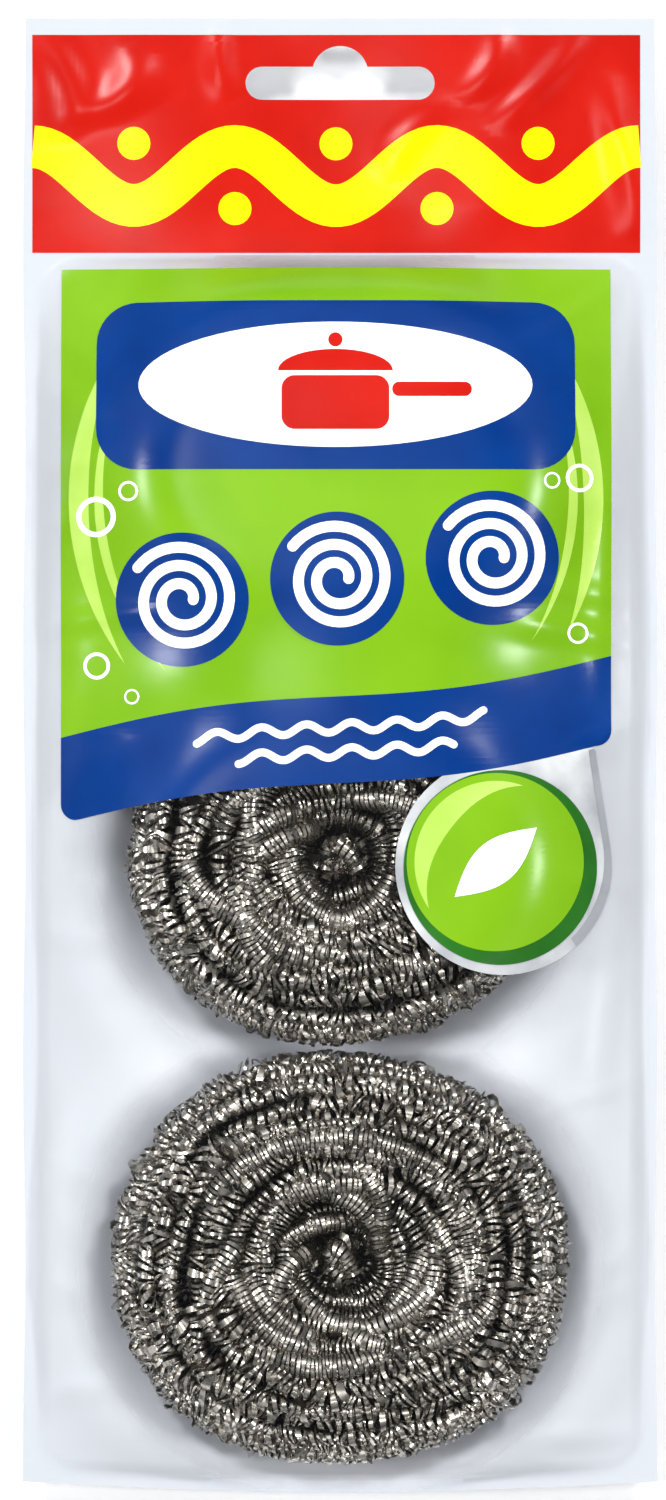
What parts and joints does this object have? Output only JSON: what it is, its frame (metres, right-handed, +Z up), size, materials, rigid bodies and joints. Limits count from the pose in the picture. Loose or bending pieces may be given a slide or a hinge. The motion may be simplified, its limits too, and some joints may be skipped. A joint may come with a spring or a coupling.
{
  "type": "pot scrubber",
  "caption": "Coiled steel-wire pot scrubbers in a row inside a clear welded film bag with a flat header and a hang slot; each scrubber can shift sideways in the bag.",
  "frame": {"origin": "on the table under the middle of the bag, which lies on its back film", "axes": "+X across the bag, +Y along it towards the header, +Z up out of the front film"},
  "size_m": [0.107, 0.2495, 0.025],
  "materials": {
    "clear_film": "clear gloss film",
    "pale_film": "milky gloss film",
    "steel_strand": "bright flat wire, coiled"
  },
  "bodies": {
    "bag": {"front_film": "clear_film", "back_film": "pale_film"},
    "lower_pad": {"lower_pad_front_turns": "steel_strand", "lower_pad_rim_turns": "steel_strand", "lower_pad_back_turns": "steel_strand", "lower_pad_core_turns": "steel_strand", "lower_pad_tucked_end": "steel_strand"},
    "middle_pad": {"middle_pad_front_turns": "steel_strand", "middle_pad_rim_turns": "steel_strand", "middle_pad_back_turns": "steel_strand", "middle_pad_core_turns": "steel_strand", "middle_pad_tucked_end": "steel_strand"},
    "upper_pad": {"upper_pad_front_turns": "steel_strand", "upper_pad_rim_turns": "steel_strand", "upper_pad_back_turns": "steel_strand", "upper_pad_core_turns": "steel_strand", "upper_pad_tucked_end": "steel_strand"}
  },
  "joints": [
    {"name": "lower_pad_shift", "type": "slide", "parent": "bag", "child": "lower_pad", "axis": [1, 0, 0], "range_m": [-0.003, 0.003]},
    {"name": "middle_pad_shift", "type": "slide", "parent": "bag", "child": "middle_pad", "axis": [1, 0, 0], "range_m": [-0.005, 0.005]},
    {"name": "upper_pad_shift", "type": "slide", "parent": "bag", "child": "upper_pad", "axis": [1, 0, 0], "range_m": [-0.005, 0.005]}
  ]
}
